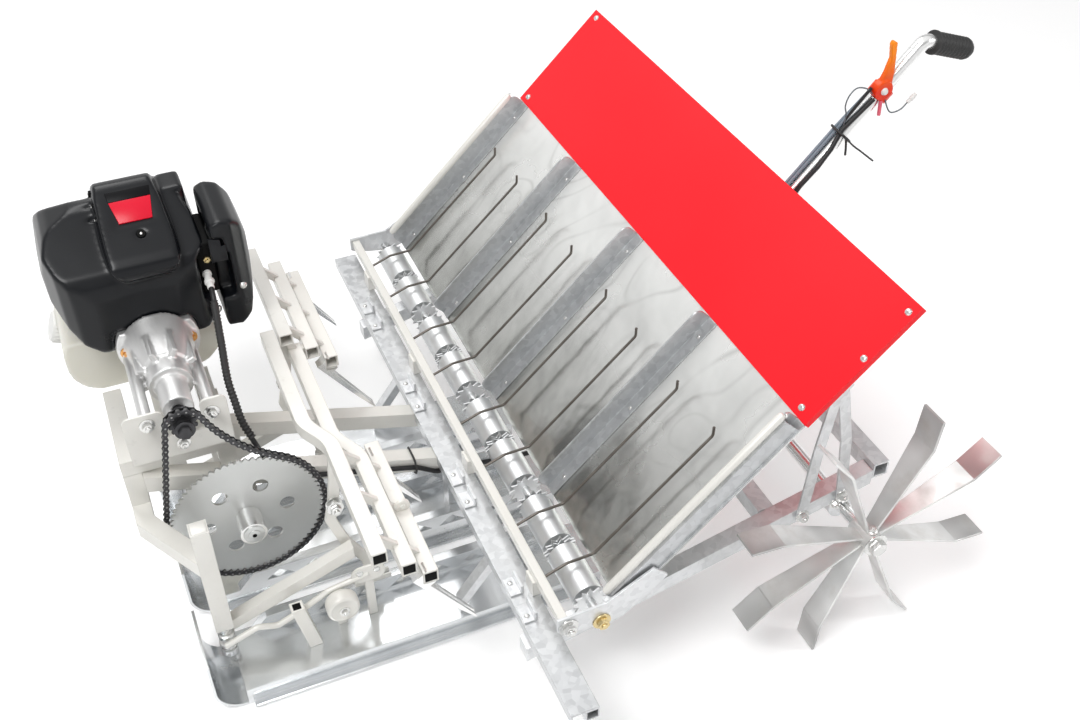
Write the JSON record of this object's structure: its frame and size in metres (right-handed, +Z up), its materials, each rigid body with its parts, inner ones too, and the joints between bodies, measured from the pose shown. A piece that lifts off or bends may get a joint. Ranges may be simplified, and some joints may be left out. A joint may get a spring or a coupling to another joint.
{
  "type": "walk-behind rice transplanter",
  "caption": "Petrol-driven walk-behind rice transplanter with a sloping four-lane seedling tray, planting claws, floats and paddle wheels.",
  "frame": {"origin": "on the ground under the middle of the tray fold, in the sole of the centre float", "axes": "+X to the near side across the machine, +Y to the handle behind, +Z up"},
  "size_m": [0.848, 1.1067, 0.552],
  "materials": {
    "galvanised": "hot dip galvanised, satin with faint spangle",
    "cream_steel": "pale silver paint, satin",
    "polished_sheet": "bright thin stainless sheet with soft wavy reflections",
    "bright_steel": "machined bright steel",
    "dark_wire": "bare spring wire, browned and dark",
    "plated_disc": "ground grey zinc plate",
    "black_steel": "oiled black oxide",
    "black_plastic": "satin moulded black",
    "tank_plastic": "milky translucent moulding",
    "cast_alloy": "as cast with a fine grain",
    "red_paint": "gloss bright red",
    "orange_plastic": "satin orange moulding",
    "black_rubber": "ribbed soft grip"
  },
  "bodies": {
    "chassis": {"front_frame": "cream_steel", "engine_bed": "cream_steel", "main_rails": "cream_steel", "crank_bearings": "cream_steel", "float_struts": "galvanised", "gate_rail": "galvanised", "seedling_gates": "galvanised", "float_left": "galvanised", "float_centre": "galvanised", "float_right": "galvanised", "float_lever": "cream_steel", "rocker_brackets": "cream_steel", "engine_mount": "cream_steel", "engine_block": "cast_alloy", "engine_shroud": "black_plastic", "air_cleaner": "black_plastic", "fuel_tank": "tank_plastic", "recoil_starter": "black_plastic", "first_chain": "black_steel", "side_bar_left": "galvanised", "side_bar_right": "galvanised", "rear_cross_bars": "galvanised", "axle_bearings": "galvanised", "tray_straps": "galvanised", "tray_slide_bar": "bright_steel", "handle_stem": "bright_steel", "handle_grip": "black_rubber", "throttle_lever": "orange_plastic", "throttle_cable": "black_rubber"},
    "crank": {"crankshaft": "bright_steel", "crank_sprocket": "plated_disc"},
    "engine_output": {"engine_sprocket": "black_steel"},
    "drive_wheels": {"drive_axle": "bright_steel", "paddle_wheel_left": "galvanised", "paddle_wheel_right": "galvanised"},
    "tray": {"tray_sheet": "polished_sheet", "tray_dividers": "galvanised", "tray_frame": "galvanised", "feed_rollers": "polished_sheet", "press_bar": "cream_steel", "press_wires": "dark_wire", "extension_panel": "red_paint"},
    "planting_frame": {"planting_tubes": "cream_steel", "planting_claws": "bright_steel", "rocker_arms": "cream_steel"}
  },
  "joints": [
    {"name": "crank_spin", "type": "hinge", "parent": "chassis", "child": "crank", "pos_m": [0, -0.3305, 0.146], "axis": [1, 0, 0], "continuous": true},
    {"name": "engine_output_spin", "type": "hinge", "parent": "chassis", "child": "engine_output", "pos_m": [0, -0.374, 0.303], "axis": [1, 0, 0], "continuous": true},
    {"name": "wheel_spin", "type": "hinge", "parent": "chassis", "child": "drive_wheels", "pos_m": [0, 0.288, 0.15998], "axis": [1, 0, 0], "continuous": true},
    {"name": "tray_feed", "type": "slide", "parent": "chassis", "child": "tray", "axis": [1, 0, 0], "range_m": [-0.043, 0.121]},
    {"name": "planting_rock", "type": "hinge", "parent": "chassis", "child": "planting_frame", "pos_m": [0, -0.212, 0.062], "axis": [1, 0, 0], "range_deg": [-28, 8]}
  ],
  "couplings": [
    {"joint": "engine_output_spin", "follows": "crank_spin", "ratio": 6.0909}
  ]
}
